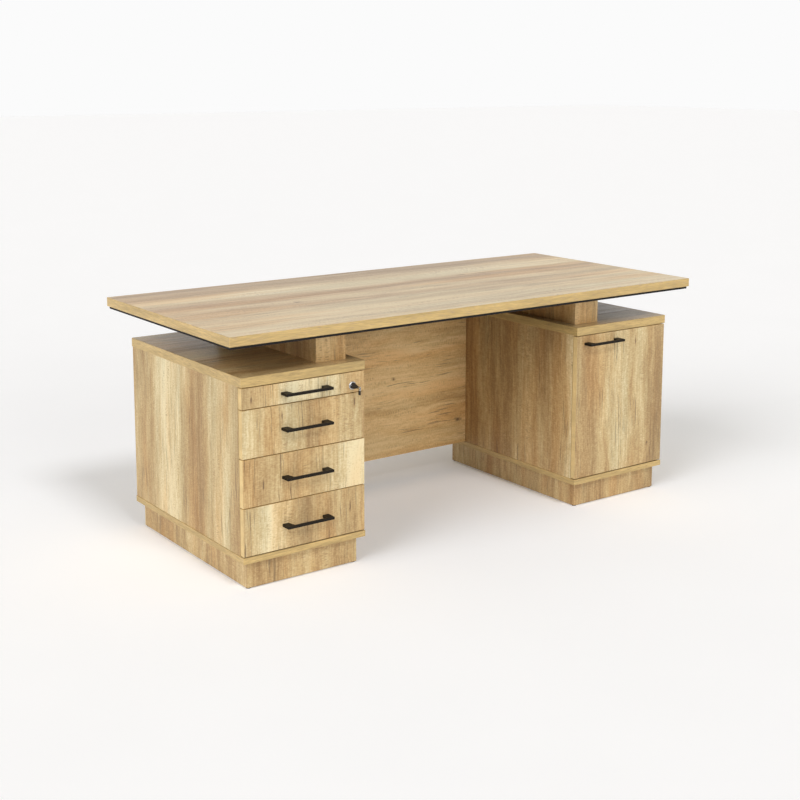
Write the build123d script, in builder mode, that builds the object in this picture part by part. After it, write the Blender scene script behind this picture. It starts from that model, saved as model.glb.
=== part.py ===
from build123d import *
import os

# A double-pedestal teacher desk: four drawers on the left, a cupboard on the right, and a desktop
# that floats above both on two risers.
# Frame: X runs along the desk, to the right of someone sitting at it; +Y runs from the drawer side
# to the visitor's side; Z is up. The origin is on the floor, under the middle of the desktop.

# ---- Overall sizes, in millimetres ----
desk_length = 1800.0
desk_depth = 800.0
desk_height = 750.0

# ---- Boards ----
top_board = 28.0  # desktop and pedestal tops
board = 18.0  # every other panel
band = 2.0  # edge banding round the desktop and the pedestal slabs
band_round = 0.8  # softened arris of the banding

# ---- Desktop and what it stands on ----
sub_top_thick = 8.0  # black board under the desktop
sub_top_inset = 6.0
riser_height = 94.0
riser_width = 103.0
riser_length = 600.0
riser_setback = 50.0  # from the pedestal's front edge
riser_inset = 35.0  # from the pedestal's inner edge

# ---- Pedestals ----
pedestal_width = 415.0
pedestal_depth = 705.0
end_overhang = 60.0  # desktop past the pedestal's outer edge
front_overhang = 50.0
glide_height = 3.0
glide_radius = 8.0
glide_nail_radius = 1.5
glide_nail_length = 14.0
glide_chamfer = 1.0
plinth_height = 79.0
plinth_inset = 20.0
reveal = 2.0  # how far the slabs stand proud of the sides and fronts
front_seam = 2.0  # between a front's back face and the carcass
front_gap = 3.0  # between fronts, and between a front and a slab
fit_gap = 0.1  # clearance of a piece set in a pocket or hole

# ---- Modesty panel ----
modesty_setback = 100.0  # behind it, to the pedestals' back edges

# ---- Drawers, counted from the top ----
drawer_count = 4
top_front_height = 60.0
drawer_board = 12.0
hardboard = 3.0
box_rise = 3.0  # drawer bottom above its front's lower edge
top_box_drop = 10.0  # box walls below the front's upper edge, top drawer
deep_box_drop = 30.0  # the same, in the deep drawers
box_length = 500.0
drawer_travel = 460.0

# ---- Telescopic runners, three members each ----
runner_space = 13.0  # between carcass side and drawer box
runner_height = 35.0
runner_seat = 4.0  # above the lower edge of the box wall
runner_overlap = 38.0  # of its length left engaged when a drawer is right out
runner_gauge = 1.2
runner_play = 0.4
runner_setback = 2.0

# ---- Bar handles ----
handle_length = 157.0
handle_reach = 33.0
handle_thick = 8.0  # height of the bar and its feet
handle_bar = 8.0  # depth of the bar
handle_foot = 21.0
handle_foot_slope = 5.0
handle_round = 1.0
handle_pitch = 128.0  # between the two screws
handle_screw_radius = 2.0
handle_screw_bite = 12.0
handle_screw_head_radius = 4.0
handle_screw_head = 2.2
door_handle_drop = 27.0  # from the door's upper edge
door_handle_inset = 32.5  # from the door's inner edge

# ---- Door and its pivots ----
pivot_inset = 6.0  # axis from the door's outer edge and from its face
pivot_radius = 2.0
pivot_play = 0.05
pivot_in_door = 16.0
pivot_in_slab = 10.0
bush_wall = 1.5
bush_flange = 1.2
bush_flange_radius = 4.5
catch_width = 45.0
catch_depth = 18.0
catch_height = 12.0
catch_tab = 14.0  # screwed to the slab, behind the catch
catch_tab_thick = 3.0
catch_inset = 10.0
catch_gap = 0.3

# ---- Shelf ----
shelf_height = 330.0  # floor to its underside
shelf_setback = 30.0
shelf_side_gap = 0.3
pin_radius = 2.5
pin_play = 0.05
pin_in_side = 9.0
pin_out = 9.0
pin_from_ends = 60.0

# ---- Cam fittings that hold the carcasses together ----
cam_radius = 7.5
cam_depth = 12.5
cam_from_edge = 24.0
cam_bolt_radius = 3.0
cam_bolt_bite = 11.0
cam_from_ends = 90.0

# ---- Lock in the top drawer ----
lock_inset = 41.5  # from the front's inner end
lock_rise = 20.0  # above the front's lower edge
lock_radius = 8.0
lock_flange_radius = 12.5
lock_flange = 2.5
lock_chamfer = 1.2
lock_tail = 4.0  # behind the front
lock_nut = 2.5
lock_nut_radius = 9.5
plug_radius = 6.0
plug_play = 0.05
plug_proud = 0.4
keyway_width = 2.2
keyway_height = 8.0
keyway_depth = 16.0
key_play = 0.1
cam_plate_gap = 0.5
cam_plate_thick = 2.0
cam_plate_width = 10.0
cam_plate_reach = 35.0
cam_screw_radius = 4.0
cam_screw_head = 2.2
lock_notch = 14.0
lock_notch_play = 1.5
strike_width = 30.0
strike_thick = 1.5
strike_drop = 11.5
strike_leg = 24.0
strike_gap = 1.0

# ---- Folding key ----
key_shank_root = 9.0
key_shank_tip = 3.0
key_shank_length = 30.0
key_eye_radius = 3.0
key_eye_width = 2.4
key_neck_lap = 1.0  # how far the eye's neck runs into the shank
key_pin_radius = 1.0
key_head_thick = 4.6
key_head_width = 8.0
key_head_play = 0.2
key_head_clear = 1.5  # above the front of the second drawer, which slides out under it

# ---- Heights and places worked out from these ----
top_z = desk_height
desktop_z = top_z - top_board
sub_top_z = desktop_z - sub_top_thick
ped_top_z = sub_top_z - riser_height
ped_slab_z = ped_top_z - top_board
plinth_z = glide_height
base_z = plinth_z + plinth_height
floor_z = base_z + board
bay_height = ped_slab_z - floor_z

outer_x = desk_length / 2 - end_overhang  # outer edge of a pedestal's slabs
inner_x = outer_x - pedestal_width
ped_front_y = -desk_depth / 2 + front_overhang
ped_back_y = ped_front_y + pedestal_depth
front_y = ped_front_y + reveal  # face of the fronts
front_back_y = front_y + board
carcass_y = front_back_y + front_seam
carcass_back_y = ped_back_y - reveal
bay_back_y = carcass_back_y - board
side_out_x = outer_x - reveal
side_in_x = inner_x + reveal
bay_out_x = side_out_x - board
bay_in_x = side_in_x + board
ped_mid_x = (outer_x + inner_x) / 2

os.makedirs("parts", exist_ok=True)
written = []


def save(built, label):
    """Names a finished piece and writes it."""
    built.part.label = label
    export_step(built.part, f"parts/{label}.step")
    written.append(label)


def block(corner, opposite, mode=Mode.ADD):
    """A square-edged solid between two opposite corners."""
    middle = (Vector(*corner) + Vector(*opposite)) * 0.5
    size = Vector(*opposite) - Vector(*corner)
    with Locations(middle):
        Box(abs(size.X), abs(size.Y), abs(size.Z), mode=mode)


def rod(start, axis, radius, length, mode=Mode.ADD):
    """A round bar, or a hole, from a point along an axis."""
    with Locations(Plane(origin=start, z_dir=axis)):
        Cylinder(radius, length, align=(Align.CENTER, Align.CENTER, Align.MIN), mode=mode)


def keep_apart(built, other):
    """Puts touching boards into one piece without merging them."""
    built.part = Part(Compound([*built.part.solids(), *other.part.solids()]).wrapped)


def slab_core(x0, x1, y0, y1, z0, z1):
    """A slab less the thickness of its edge banding."""
    block((min(x0, x1) + band, y0 + band, z0), (max(x0, x1) - band, y1 - band, z1))


def edge_band(x0, x1, y0, y1, z0, z1):
    """A ring of banding round a slab, with softened outer arrises."""
    length = abs(x1 - x0)
    depth = y1 - y0
    middle = ((x0 + x1) / 2, (y0 + y1) / 2)
    with BuildPart() as ring:
        with BuildSketch(Plane.XY.offset(z0)):
            with Locations(middle):
                RectangleRounded(length, depth, band_round * 2)
                Rectangle(length - 2 * band, depth - 2 * band, mode=Mode.SUBTRACT)
        extrude(amount=z1 - z0)
        outer = ring.faces().filter_by(Axis.Z).edges().filter_by(
            lambda e: not (
                abs(e.center().X - middle[0]) < length / 2 - band / 2
                and abs(e.center().Y - middle[1]) < depth / 2 - band / 2
            )
        )
        fillet(outer, band_round)
    return ring


# ---- Desktop ----
with BuildPart() as desktop:
    slab_core(-desk_length / 2, desk_length / 2, -desk_depth / 2, desk_depth / 2, desktop_z, top_z)
save(desktop, "desktop")

desktop_band = edge_band(
    -desk_length / 2, desk_length / 2, -desk_depth / 2, desk_depth / 2, desktop_z, top_z
)
save(desktop_band, "desktop_edge_band")

with BuildPart() as sub_top:
    with BuildSketch(Plane.XY.offset(sub_top_z)):
        Rectangle(desk_length - 2 * sub_top_inset, desk_depth - 2 * sub_top_inset)
    extrude(amount=sub_top_thick)
save(sub_top, "sub_top")

# ---- Risers: a box of four boards on each pedestal ----
riser_front_y = ped_front_y + riser_setback
riser_back_y = riser_front_y + riser_length
riser_in_x = inner_x + riser_inset
riser_out_x = riser_in_x + riser_width
for name, s in (("left", -1), ("right", 1)):
    with BuildPart() as riser:
        for y in (riser_front_y, riser_back_y - board):
            block(
                (s * riser_in_x, y, ped_top_z),
                (s * riser_out_x, y + board, sub_top_z),
            )
    with BuildPart() as riser_sides:
        for x in (riser_in_x, riser_out_x - board):
            block(
                (s * x, riser_front_y + board, ped_top_z),
                (s * (x + board), riser_back_y - board, sub_top_z),
            )
    keep_apart(riser, riser_sides)
    save(riser, f"{name}_riser")

# ---- Modesty panel, notched round the pedestals' top slabs ----
modesty_back_y = ped_back_y - modesty_setback
modesty_front_y = modesty_back_y - board
with BuildPart() as modesty:
    with BuildSketch(Plane.XY.offset(floor_z)):
        with Locations((0, modesty_front_y + board / 2)):
            Rectangle(2 * side_in_x, board)
    extrude(amount=sub_top_z - floor_z)
    for s in (-1, 1):
        block(
            (s * inner_x, modesty_front_y, ped_slab_z),
            (s * outer_x, modesty_back_y, sub_top_z),
            Mode.SUBTRACT,
        )
save(modesty, "modesty_panel")

# ---- Where the cam fittings sit: one list serves the cams, the bolts and every hole ----
cam_ys = (carcass_y + cam_from_ends, carcass_back_y - cam_from_ends)
cam_rows = ((floor_z + cam_from_edge, -1), (ped_slab_z - cam_from_edge, 1))
side_panels = []
for s in (-1, 1):
    side_panels.append((s, side_out_x, bay_out_x, -s))
    side_panels.append((s, side_in_x, bay_in_x, s))


def bolt_holes(s, z_face, into):
    """Holes in a slab for the bolts of one pedestal."""
    for sign, x_out, x_in, _ in side_panels:
        if sign == s:
            for y in cam_ys:
                rod(
                    (s * (x_out + x_in) / 2, y, z_face),
                    (0, 0, into),
                    cam_bolt_radius + fit_gap,
                    cam_bolt_bite,
                    Mode.SUBTRACT,
                )


# ---- Slabs of the pedestals ----
pivot_x = side_out_x - pivot_inset
pivot_y = front_y + pivot_inset
bush_radius = pivot_radius + pivot_play + bush_wall
for name, s in (("left", -1), ("right", 1)):
    levels = (("top_slab", ped_slab_z, ped_top_z, 1), ("bottom_slab", base_z, floor_z, -1))
    for level, low, high, into in levels:
        bay_face = low if into > 0 else high
        with BuildPart() as slab:
            slab_core(s * outer_x, s * inner_x, ped_front_y, ped_back_y, low, high)
            bolt_holes(s, bay_face, into)
            if s > 0:
                rod(
                    (pivot_x, pivot_y, bay_face),
                    (0, 0, into),
                    bush_radius + fit_gap,
                    pivot_in_slab,
                    Mode.SUBTRACT,
                )
        save(slab, f"{name}_{level}")

bands = []
for s in (-1, 1):
    for low, high in ((ped_slab_z, ped_top_z), (base_z, floor_z)):
        ring = edge_band(s * outer_x, s * inner_x, ped_front_y, ped_back_y, low, high)
        bands.extend(ring.part.solids())
with BuildPart() as slab_bands:
    add(bands)
save(slab_bands, "slab_edge_bands")

# ---- Side and back panels ----
shelf_front_y = carcass_y + shelf_setback
pin_ys = (shelf_front_y + pin_from_ends, bay_back_y - pin_from_ends)
pin_z = shelf_height - pin_radius
for name, s in (("left", -1), ("right", 1)):
    for place, x_out, x_in, inward in (
        ("outer", side_out_x, bay_out_x, -s),
        ("inner", side_in_x, bay_in_x, s),
    ):
        with BuildPart() as side:
            block((s * x_out, carcass_y, floor_z), (s * x_in, carcass_back_y, ped_slab_z))
            for y in cam_ys:
                for z, outward in cam_rows:
                    rod(
                        (s * x_in, y, z),
                        (-inward, 0, 0),
                        cam_radius + fit_gap,
                        cam_depth,
                        Mode.SUBTRACT,
                    )
                    rod(
                        (s * (x_out + x_in) / 2, y, z),
                        (0, 0, outward),
                        cam_bolt_radius + fit_gap,
                        cam_from_edge,
                        Mode.SUBTRACT,
                    )
            if s > 0:
                for y in pin_ys:
                    rod(
                        (s * x_in, y, pin_z),
                        (-inward, 0, 0),
                        pin_radius + pin_play,
                        pin_in_side,
                        Mode.SUBTRACT,
                    )
        save(side, f"{name}_{place}_side")
    with BuildPart() as back:
        block((s * bay_out_x, bay_back_y, floor_z), (s * bay_in_x, carcass_back_y, ped_slab_z))
    save(back, f"{name}_back_panel")

# ---- Plinths: four boards each, on nailed glides ----
plinth_out_x = outer_x - plinth_inset
plinth_in_x = inner_x + plinth_inset
plinth_front_y = ped_front_y + plinth_inset
plinth_back_y = ped_back_y - plinth_inset
glide_xs = (plinth_out_x - board / 2, plinth_in_x + board / 2)
glide_ys = (plinth_front_y + board / 2, plinth_back_y - board / 2)
for name, s in (("left", -1), ("right", 1)):
    with BuildPart() as plinth:
        for y in (plinth_front_y, plinth_back_y - board):
            block((s * plinth_out_x, y, plinth_z), (s * plinth_in_x, y + board, base_z))
        for x in glide_xs:
            for y in glide_ys:
                rod(
                    (s * x, y, plinth_z),
                    (0, 0, 1),
                    glide_nail_radius + fit_gap,
                    glide_nail_length,
                    Mode.SUBTRACT,
                )
    with BuildPart() as plinth_sides:
        for x in (plinth_out_x - board, plinth_in_x):
            block(
                (s * x, plinth_front_y + board, plinth_z),
                (s * (x + board), plinth_back_y - board, base_z),
            )
    keep_apart(plinth, plinth_sides)
    save(plinth, f"{name}_plinth")

with BuildPart() as glides:
    for s in (-1, 1):
        for x in glide_xs:
            for y in glide_ys:
                rod((s * x, y, 0), (0, 0, 1), glide_radius, glide_height)
                rod(
                    (s * x, y, 0),
                    (0, 0, 1),
                    glide_nail_radius,
                    glide_height + glide_nail_length - fit_gap,
                )
    chamfer(
        glides.edges().filter_by(GeomType.CIRCLE).group_by(Axis.Z)[0],
        glide_chamfer,
    )
save(glides, "glides")

# ---- Cams and their bolts ----
with BuildPart() as cams:
    for s, x_out, x_in, inward in side_panels:
        for y in cam_ys:
            for z, outward in cam_rows:
                rod((s * x_in, y, z), (-inward, 0, 0), cam_radius, cam_depth - fit_gap)
                shank_start = cam_radius + fit_gap
                rod(
                    (s * (x_out + x_in) / 2, y, z + outward * shank_start),
                    (0, 0, outward),
                    cam_bolt_radius,
                    cam_from_edge + cam_bolt_bite - shank_start - fit_gap,
                )
save(cams, "cam_fittings")

# ---- Drawer heights ----
fronts_room = bay_height - (drawer_count + 1) * front_gap
deep_front_height = (fronts_room - top_front_height) / (drawer_count - 1)
drawers = []
upper = ped_slab_z - front_gap
for number in range(1, drawer_count + 1):
    height = top_front_height if number == 1 else deep_front_height
    drop = top_box_drop if number == 1 else deep_box_drop
    drawers.append((number, upper - height, upper, upper - drop))
    upper -= height + front_gap

box_out_x = -(bay_out_x - runner_space)
box_in_x = -(bay_in_x + runner_space)
box_back_y = front_back_y + box_length
runner_y = carcass_y + runner_setback
runner_length = drawer_travel + runner_overlap
lock_x = -(side_in_x + lock_inset)
lock_z = drawers[0][1] + lock_rise


def channel(x_web, reach, z_middle, height, y_start):
    """A C-shaped runner member: its web at x_web, its flanges reaching along X by reach."""
    side = 1 if reach > 0 else -1
    y_end = y_start + runner_length
    block(
        (x_web, y_start, z_middle - height / 2),
        (x_web + side * runner_gauge, y_end, z_middle + height / 2),
    )
    for end in (-1, 1):
        edge = z_middle + end * height / 2
        block((x_web, y_start, edge), (x_web + reach, y_end, edge - end * runner_gauge))


def runner_middle(low):
    """Height of a drawer's runners, from its front's lower edge."""
    return low + box_rise + hardboard + runner_seat + runner_height / 2


nest = runner_gauge + runner_play
with BuildPart() as cabinet_runners:
    for _, low, _, _ in drawers:
        for wall, side in ((-bay_out_x, 1), (-bay_in_x, -1)):
            channel(
                wall,
                side * (runner_space - 3 * nest),
                runner_middle(low),
                runner_height,
                runner_y,
            )
save(cabinet_runners, "cabinet_runners")


def bar_handle(x_middle, z_middle):
    """A square bar pull on two block feet, with the screws that hold it."""
    half = handle_length / 2
    inner = half - handle_foot
    with BuildPart() as handle:
        with BuildSketch(Plane.XY.offset(z_middle - handle_thick / 2)):
            with BuildLine():
                Polyline(
                    (x_middle - half, front_y),
                    (x_middle - half, front_y - handle_reach),
                    (x_middle + half, front_y - handle_reach),
                    (x_middle + half, front_y),
                    (x_middle + inner, front_y),
                    (x_middle + inner - handle_foot_slope, front_y - handle_reach + handle_bar),
                    (x_middle - inner + handle_foot_slope, front_y - handle_reach + handle_bar),
                    (x_middle - inner, front_y),
                    close=True,
                )
            make_face()
        extrude(amount=handle_thick)
        proud = handle.edges().filter_by(lambda e: e.center().Y < front_y - fit_gap)
        fillet(proud, handle_round)
        for end in (-1, 1):
            screw_x = x_middle + end * handle_pitch / 2
            rod(
                (screw_x, front_y, z_middle),
                (0, -1, 0),
                handle_screw_radius + fit_gap,
                handle_screw_bite,
                Mode.SUBTRACT,
            )
    with BuildPart() as screws:
        for end in (-1, 1):
            screw_x = x_middle + end * handle_pitch / 2
            rod(
                (screw_x, front_back_y, z_middle),
                (0, -1, 0),
                handle_screw_radius,
                board + handle_screw_bite - fit_gap,
            )
            rod(
                (screw_x, front_back_y, z_middle),
                (0, 1, 0),
                handle_screw_head_radius,
                min(handle_screw_head, front_seam - fit_gap),
            )
    keep_apart(handle, screws)
    return handle


def handle_holes(x_middle, z_middle):
    """Clearance holes through a front for its handle's screws."""
    for end in (-1, 1):
        rod(
            (x_middle + end * handle_pitch / 2, front_y, z_middle),
            (0, 1, 0),
            handle_screw_radius + fit_gap,
            board,
            Mode.SUBTRACT,
        )


# ---- Drawers ----
lock_tail_y = front_back_y + lock_tail
for number, low, high, wall_top in drawers:
    middle = (low + high) / 2
    wall_low = low + box_rise + hardboard

    with BuildPart() as front:
        block((-side_out_x, front_y, low), (-side_in_x, front_back_y, high))
        handle_holes(-ped_mid_x, middle)
        if number == 1:
            rod(
                (lock_x, front_y, lock_z),
                (0, 1, 0),
                lock_radius + fit_gap,
                board,
                Mode.SUBTRACT,
            )
    save(front, f"drawer_{number}_front")

    with BuildPart() as walls:
        for x, side in ((box_out_x, 1), (box_in_x, -1)):
            block(
                (x, front_back_y, wall_low),
                (x + side * drawer_board, box_back_y - drawer_board, wall_top),
            )
        if number == 1:
            block(
                (box_in_x, front_back_y, lock_z - lock_nut_radius - lock_notch_play),
                (box_in_x - drawer_board, front_back_y + lock_notch, wall_top),
                Mode.SUBTRACT,
            )
    with BuildPart() as rear_wall:
        block(
            (box_out_x, box_back_y - drawer_board, wall_low),
            (box_in_x, box_back_y, wall_top),
        )
    keep_apart(walls, rear_wall)
    save(walls, f"drawer_{number}_walls")

    with BuildPart() as bottom:
        with BuildSketch(Plane.XY.offset(low + box_rise)):
            with Locations(((box_out_x + box_in_x) / 2, (front_back_y + box_back_y) / 2)):
                Rectangle(box_in_x - box_out_x, box_length)
        extrude(amount=hardboard)
    save(bottom, f"drawer_{number}_bottom")

    save(bar_handle(-ped_mid_x, middle), f"drawer_{number}_handle")

    with BuildPart() as drawer_runners:
        for wall, side in ((box_out_x, -1), (box_in_x, 1)):
            channel(
                wall,
                side * (runner_space - 2 * nest),
                runner_middle(low),
                runner_height - 4 * nest,
                runner_y,
            )
    save(drawer_runners, f"drawer_{number}_runners")

    with BuildPart() as middle_runners:
        for wall, side in ((-bay_out_x, 1), (-bay_in_x, -1)):
            channel(
                wall + side * nest,
                side * (runner_space - 2 * nest),
                runner_middle(low),
                runner_height - 2 * nest,
                runner_y,
            )
    save(middle_runners, f"middle_runners_{number}")

# ---- Lock ----
with BuildPart() as lock_barrel:
    rod((lock_x, front_y, lock_z), (0, -1, 0), lock_flange_radius, lock_flange)
    rod((lock_x, front_y, lock_z), (0, 1, 0), lock_radius, board + lock_tail)
    chamfer(
        lock_barrel.edges().filter_by(GeomType.CIRCLE).group_by(Axis.Y)[0],
        lock_chamfer,
    )
    rod(
        (lock_x, front_y - lock_flange, lock_z),
        (0, 1, 0),
        plug_radius + plug_play,
        board + lock_tail + lock_flange,
        Mode.SUBTRACT,
    )
with BuildPart() as lock_ring:
    rod((lock_x, front_back_y, lock_z), (0, 1, 0), lock_nut_radius, lock_nut)
    rod(
        (lock_x, front_back_y, lock_z),
        (0, 1, 0),
        lock_radius + fit_gap,
        lock_nut,
        Mode.SUBTRACT,
    )
keep_apart(lock_barrel, lock_ring)
save(lock_barrel, "lock_barrel")

plug_y = front_y - lock_flange - plug_proud
cam_y = lock_tail_y + cam_plate_gap
with BuildPart() as lock_plug:
    rod((lock_x, plug_y, lock_z), (0, 1, 0), plug_radius, cam_y - plug_y)
    block(
        (lock_x - keyway_width / 2, plug_y, lock_z - keyway_height / 2),
        (lock_x + keyway_width / 2, plug_y + keyway_depth, lock_z + keyway_height / 2),
        Mode.SUBTRACT,
    )
save(lock_plug, "lock_plug")

with BuildPart() as lock_cam:
    with BuildSketch(Plane.XZ.offset(-cam_y)):
        with BuildLine():
            Polyline(
                (lock_x, lock_z + cam_plate_width / 2),
                (lock_x - cam_plate_reach, lock_z + cam_plate_width / 2),
                (lock_x - cam_plate_reach, lock_z - cam_plate_width / 2),
                (lock_x, lock_z - cam_plate_width / 2),
            )
            RadiusArc(
                (lock_x, lock_z - cam_plate_width / 2),
                (lock_x, lock_z + cam_plate_width / 2),
                -cam_plate_width / 2,
            )
        make_face()
    extrude(amount=-cam_plate_thick)
    rod((lock_x, cam_y + cam_plate_thick, lock_z), (0, 1, 0), cam_screw_radius, cam_screw_head)
save(lock_cam, "lock_cam")

strike_back_y = cam_y - strike_gap
with BuildPart() as strike:
    block(
        (lock_x - strike_width / 2, strike_back_y - strike_thick, ped_slab_z - strike_drop),
        (lock_x + strike_width / 2, strike_back_y, ped_slab_z),
    )
    block(
        (lock_x - strike_width / 2, strike_back_y - strike_thick, ped_slab_z - strike_thick),
        (lock_x + strike_width / 2, strike_back_y + strike_leg, ped_slab_z),
    )
save(strike, "lock_strike")

# ---- Folding key: the blade and shank turn with the plug, and the head hangs from the eye ----
key_y = plug_y - key_play
eye_y = key_y - key_shank_length - key_head_width / 2 - 2 * key_head_play
key_head_top = lock_z + key_head_width / 2
key_head_length = key_head_top - (drawers[1][2] + key_head_clear)
blade_end_y = plug_y + keyway_depth - key_play
blade_half_width = keyway_width / 2 - key_play
blade_half_height = keyway_height / 2 - key_play
with BuildPart() as key:
    block(
        (lock_x - blade_half_width, key_y, lock_z - blade_half_height),
        (lock_x + blade_half_width, blade_end_y, lock_z + blade_half_height),
    )
    with Locations(Plane(origin=(lock_x, key_y, lock_z), z_dir=(0, -1, 0))):
        Cone(
            key_shank_root,
            key_shank_tip,
            key_shank_length,
            align=(Align.CENTER, Align.CENTER, Align.MIN),
        )
    rod((lock_x - key_eye_width / 2, eye_y, lock_z), (1, 0, 0), key_eye_radius, key_eye_width)
    block(
        (lock_x - key_eye_width / 2, eye_y, lock_z - key_eye_radius / 2),
        (
            lock_x + key_eye_width / 2,
            key_y - key_shank_length + key_neck_lap,
            lock_z + key_eye_radius / 2,
        ),
    )
    rod(
        (lock_x - key_head_thick / 2, eye_y, lock_z),
        (1, 0, 0),
        key_pin_radius,
        key_head_thick,
    )
save(key, "key")

with BuildPart() as key_head:
    with BuildSketch(Plane.YZ.offset(lock_x - key_head_thick / 2)):
        with Locations((eye_y, key_head_top - key_head_length / 2)):
            SlotOverall(key_head_length, key_head_width, rotation=90)
    extrude(amount=key_head_thick)
    slot_half = key_eye_width / 2 + key_head_play
    slot_reach = key_eye_radius + 2 * key_head_play
    block(
        (lock_x - slot_half, eye_y - key_head_width, lock_z - slot_reach),
        (lock_x + slot_half, eye_y + key_head_width, lock_z + key_head_width),
        Mode.SUBTRACT,
    )
    rod(
        (lock_x - key_head_thick, eye_y, lock_z),
        (1, 0, 0),
        key_pin_radius + pivot_play,
        2 * key_head_thick,
        Mode.SUBTRACT,
    )
save(key_head, "key_head")

# ---- Shelf and its pins ----
with BuildPart() as shelf:
    with BuildSketch(Plane.XY.offset(shelf_height)):
        with Locations(((bay_out_x + bay_in_x) / 2, (shelf_front_y + bay_back_y) / 2)):
            Rectangle(
                bay_out_x - bay_in_x - 2 * shelf_side_gap,
                bay_back_y - shelf_front_y - 2 * shelf_side_gap,
            )
    extrude(amount=board)
save(shelf, "shelf")

with BuildPart() as shelf_pins:
    for x, inward in ((bay_out_x, -1), (bay_in_x, 1)):
        for y in pin_ys:
            rod(
                (x - inward * (pin_in_side - fit_gap), y, pin_z),
                (inward, 0, 0),
                pin_radius,
                pin_in_side - fit_gap + pin_out,
            )
save(shelf_pins, "shelf_pins")

# ---- Door on its two pivots ----
door_low = floor_z + front_gap
door_high = ped_slab_z - front_gap
door_handle_x = side_in_x + door_handle_inset + handle_length / 2
door_handle_z = door_high - door_handle_drop
catch_x = bay_in_x + catch_inset
with BuildPart() as door:
    block((side_in_x, front_y, door_low), (side_out_x, front_back_y, door_high))
    handle_holes(door_handle_x, door_handle_z)
    for z, into in ((door_low, 1), (door_high, -1)):
        rod(
            (pivot_x, pivot_y, z),
            (0, 0, into),
            pivot_radius + fit_gap,
            pivot_in_door,
            Mode.SUBTRACT,
        )
save(door, "door")
save(bar_handle(door_handle_x, door_handle_z), "door_handle")

collar = front_gap - bush_flange
with BuildPart() as door_pivots:
    for z, into, seat in ((door_low, 1, collar), (door_high, -1, collar - catch_gap)):
        reach = pivot_in_slab + front_gap - fit_gap
        rod(
            (pivot_x, pivot_y, z - into * reach),
            (0, 0, into),
            pivot_radius,
            reach + pivot_in_door - fit_gap,
        )
        rod((pivot_x, pivot_y, z - into * seat), (0, 0, into), bush_flange_radius, seat)
save(door_pivots, "door_pivots")

with BuildPart() as bushes:
    for z, into in ((floor_z, -1), (ped_slab_z, 1)):
        rod((pivot_x, pivot_y, z), (0, 0, into), bush_radius, pivot_in_slab - fit_gap)
        rod((pivot_x, pivot_y, z), (0, 0, -into), bush_flange_radius, bush_flange)
        rod(
            (pivot_x, pivot_y, z - into * bush_flange),
            (0, 0, into),
            pivot_radius + pivot_play,
            pivot_in_slab + bush_flange,
            Mode.SUBTRACT,
        )
save(bushes, "hinge_bushes")

with BuildPart() as catch_plate:
    block(
        (catch_x, front_back_y, ped_slab_z - catch_height),
        (catch_x + catch_width, carcass_y - catch_gap, door_high - catch_gap),
    )
save(catch_plate, "catch_plate")

with BuildPart() as magnet_catch:
    block(
        (catch_x, carcass_y, ped_slab_z - catch_height),
        (catch_x + catch_width, carcass_y + catch_depth, ped_slab_z),
    )
    block(
        (catch_x, carcass_y + catch_depth, ped_slab_z - catch_tab_thick),
        (catch_x + catch_width, carcass_y + catch_depth + catch_tab, ped_slab_z),
    )
save(magnet_catch, "magnet_catch")

print(len(written), "pieces written")
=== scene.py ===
import math

import bmesh
import bpy
from bpy.props import FloatProperty, FloatVectorProperty, PointerProperty
from mathutils import Matrix, Vector


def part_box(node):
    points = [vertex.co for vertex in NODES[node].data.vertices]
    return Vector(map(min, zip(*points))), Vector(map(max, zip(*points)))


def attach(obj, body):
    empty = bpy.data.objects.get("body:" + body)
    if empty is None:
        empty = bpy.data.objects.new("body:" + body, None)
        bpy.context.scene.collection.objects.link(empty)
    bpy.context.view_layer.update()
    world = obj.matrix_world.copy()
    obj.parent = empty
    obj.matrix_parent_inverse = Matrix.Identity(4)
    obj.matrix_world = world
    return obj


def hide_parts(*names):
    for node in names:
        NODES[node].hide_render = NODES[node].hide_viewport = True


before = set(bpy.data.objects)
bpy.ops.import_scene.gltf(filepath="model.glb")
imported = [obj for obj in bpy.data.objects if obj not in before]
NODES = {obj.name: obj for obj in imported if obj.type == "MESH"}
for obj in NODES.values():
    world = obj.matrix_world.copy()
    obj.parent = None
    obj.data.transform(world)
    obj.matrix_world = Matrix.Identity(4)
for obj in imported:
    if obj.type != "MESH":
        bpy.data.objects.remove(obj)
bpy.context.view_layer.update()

bl_info = {
    "name": "Teacher Desk",
    "version": (1, 0, 0),
    "blender": (4, 5, 0),
    "location": "3D View > Sidebar > Teacher Desk",
    "description": "Finishes, handles, lock and stage for a double-pedestal teacher desk",
    "category": "Object",
}

X, Y, Z = 0, 1, 2
BOTH = 1.5  # for an upright box of boards, whose faces look both ways
MM = 0.001
DRAWERS = sorted(n.removesuffix("_front") for n in NODES if n.startswith("drawer_") and n.endswith("_front"))


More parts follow.
